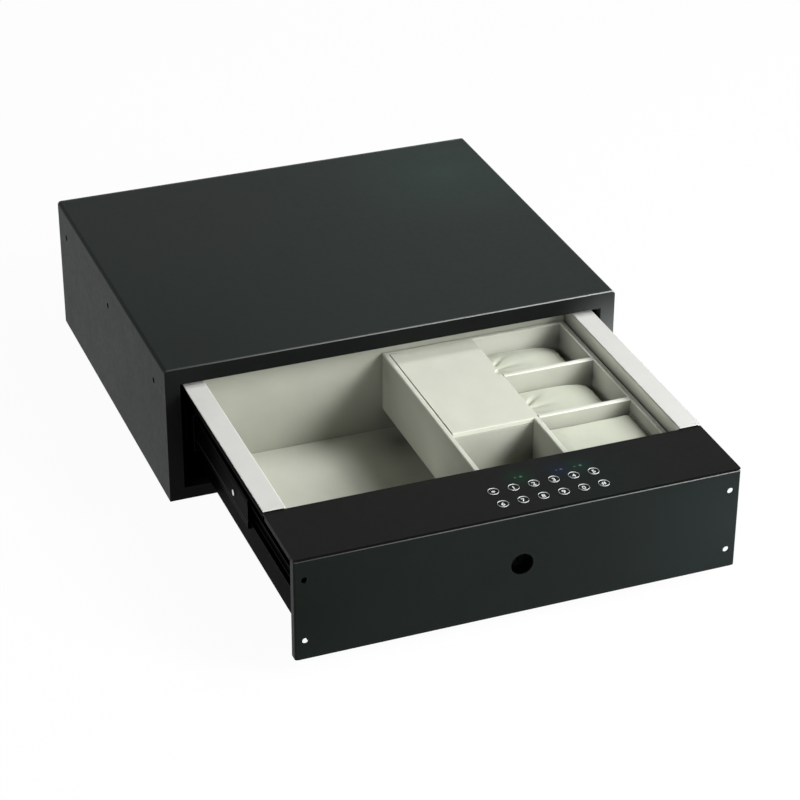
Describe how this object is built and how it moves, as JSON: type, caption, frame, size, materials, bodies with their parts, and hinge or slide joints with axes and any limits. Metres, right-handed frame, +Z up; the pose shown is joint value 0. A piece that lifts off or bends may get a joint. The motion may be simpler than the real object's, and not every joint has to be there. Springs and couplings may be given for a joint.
{
  "type": "under desk drawer safe",
  "caption": "Flat steel safe for under a desk, with a keypad drawer on ball bearing slides and a lined storage tray with lid and pillows.",
  "frame": {"origin": "centre of the housing's underside", "axes": "+Z up, front of the drawer towards -Y, +X to the right seen from the front"},
  "size_m": [0.5, 0.7592, 0.154],
  "materials": {
    "powder_black": "satin black powder coat on sheet steel",
    "rail_black": "black coated steel, semi-gloss",
    "bright_steel": "bright plated steel",
    "lock_brass": "turned brass",
    "black_plastic": "matte moulded plastic",
    "board_green": "glass laminate board",
    "ledge_white": "matte off-white strip",
    "liner_cream": "board covered in short cream pile",
    "tray_board": "board covered in short cream pile, eased edges",
    "pillow_cream": "stuffed cover of short cream pile"
  },
  "bodies": {
    "housing": {"housing_shell": "powder_black", "front_frame": "powder_black", "bottom_plate": "powder_black", "back_plate": "powder_black", "lock_strike": "rail_black", "left_front_rail_bracket": "powder_black", "left_rear_rail_bracket": "powder_black", "right_front_rail_bracket": "powder_black", "right_rear_rail_bracket": "powder_black", "left_outer_rail": "rail_black", "right_outer_rail": "rail_black"},
    "left_outer_cage": {"left_outer_ball_cage": "bright_steel"},
    "right_outer_cage": {"right_outer_ball_cage": "bright_steel"},
    "left_middle": {"left_middle_rail": "rail_black"},
    "right_middle": {"right_middle_rail": "rail_black"},
    "left_inner_cage": {"left_inner_ball_cage": "bright_steel"},
    "right_inner_cage": {"right_inner_ball_cage": "bright_steel"},
    "drawer": {"left_inner_rail": "rail_black", "right_inner_rail": "rail_black", "drawer_shell": "powder_black", "drawer_back": "powder_black", "left_ledge_cover": "ledge_white", "right_ledge_cover": "ledge_white", "left_liner": "liner_cream", "right_liner": "liner_cream", "back_liner": "liner_cream", "front_liner": "liner_cream", "floor_liner": "liner_cream", "front_panel": "powder_black", "deck_cover": "powder_black", "lock_box_wall": "powder_black", "lock_case": "rail_black", "lock_motor": "bright_steel", "key_lock_body": "lock_brass", "battery_box": "black_plastic", "circuit_board": "board_green", "rear_tray_riser": "black_plastic", "front_tray_riser": "black_plastic"},
    "bolt": {"lock_bolt": "bright_steel"},
    "plug": {"key_plug": "bright_steel"},
    "tray": {"tray_body": "tray_board", "tray_centre_divider": "tray_board", "tray_lid_rest_wall": "tray_board", "tray_front_cross_divider": "tray_board", "tray_rear_cross_divider": "tray_board", "front_pad": "pillow_cream"},
    "lid": {"tray_lid": "tray_board"},
    "front_watch_pillow": {"front_pillow": "pillow_cream"},
    "rear_watch_pillow": {"rear_pillow": "pillow_cream"}
  },
  "joints": [
    {"name": "drawer_slide", "type": "slide", "parent": "housing", "child": "drawer", "axis": [0, -1, 0], "range_m": [-0.3337, 0.0163]},
    {"name": "left_outer_cage_slide", "type": "slide", "parent": "housing", "child": "left_outer_cage", "axis": [0, -1, 0], "range_m": [-0.0836, 0.0042]},
    {"name": "right_outer_cage_slide", "type": "slide", "parent": "housing", "child": "right_outer_cage", "axis": [0, -1, 0], "range_m": [-0.0836, 0.0042]},
    {"name": "left_middle_slide", "type": "slide", "parent": "housing", "child": "left_middle", "axis": [0, -1, 0], "range_m": [-0.167, 0.0083]},
    {"name": "right_middle_slide", "type": "slide", "parent": "housing", "child": "right_middle", "axis": [0, -1, 0], "range_m": [-0.167, 0.0083]},
    {"name": "left_inner_cage_slide", "type": "slide", "parent": "housing", "child": "left_inner_cage", "axis": [0, -1, 0], "range_m": [-0.2504, 0.0124]},
    {"name": "right_inner_cage_slide", "type": "slide", "parent": "housing", "child": "right_inner_cage", "axis": [0, -1, 0], "range_m": [-0.2504, 0.0124]},
    {"name": "bolt_drop", "type": "slide", "parent": "drawer", "child": "bolt", "axis": [0, 0, -1], "range_m": [0, 0.012]},
    {"name": "key_turn", "type": "hinge", "parent": "drawer", "child": "plug", "pos_m": [0, -0.53, 0.0708], "axis": [0, -1, 0], "range_deg": [0, 90]},
    {"name": "tray_lift", "type": "slide", "parent": "drawer", "child": "tray", "axis": [0, 0, 1], "range_m": [0, 0.01]},
    {"name": "lid_hinge", "type": "hinge", "parent": "tray", "child": "lid", "pos_m": [0.046, -0.1875, 0.1125], "axis": [-1, 0, 0], "range_deg": [0, 40]},
    {"name": "front_pillow_lift", "type": "slide", "parent": "tray", "child": "front_watch_pillow", "axis": [0, 0, 1], "range_m": [0, 0.06]},
    {"name": "rear_pillow_lift", "type": "slide", "parent": "tray", "child": "rear_watch_pillow", "axis": [0, 0, 1], "range_m": [0, 0.024]}
  ],
  "couplings": [
    {"joint": "left_outer_cage_slide", "follows": "drawer_slide", "ratio": 0.25},
    {"joint": "right_outer_cage_slide", "follows": "drawer_slide", "ratio": 0.25},
    {"joint": "left_middle_slide", "follows": "drawer_slide", "ratio": 0.5},
    {"joint": "right_middle_slide", "follows": "drawer_slide", "ratio": 0.5},
    {"joint": "left_inner_cage_slide", "follows": "drawer_slide", "ratio": 0.75},
    {"joint": "right_inner_cage_slide", "follows": "drawer_slide", "ratio": 0.75}
  ]
}
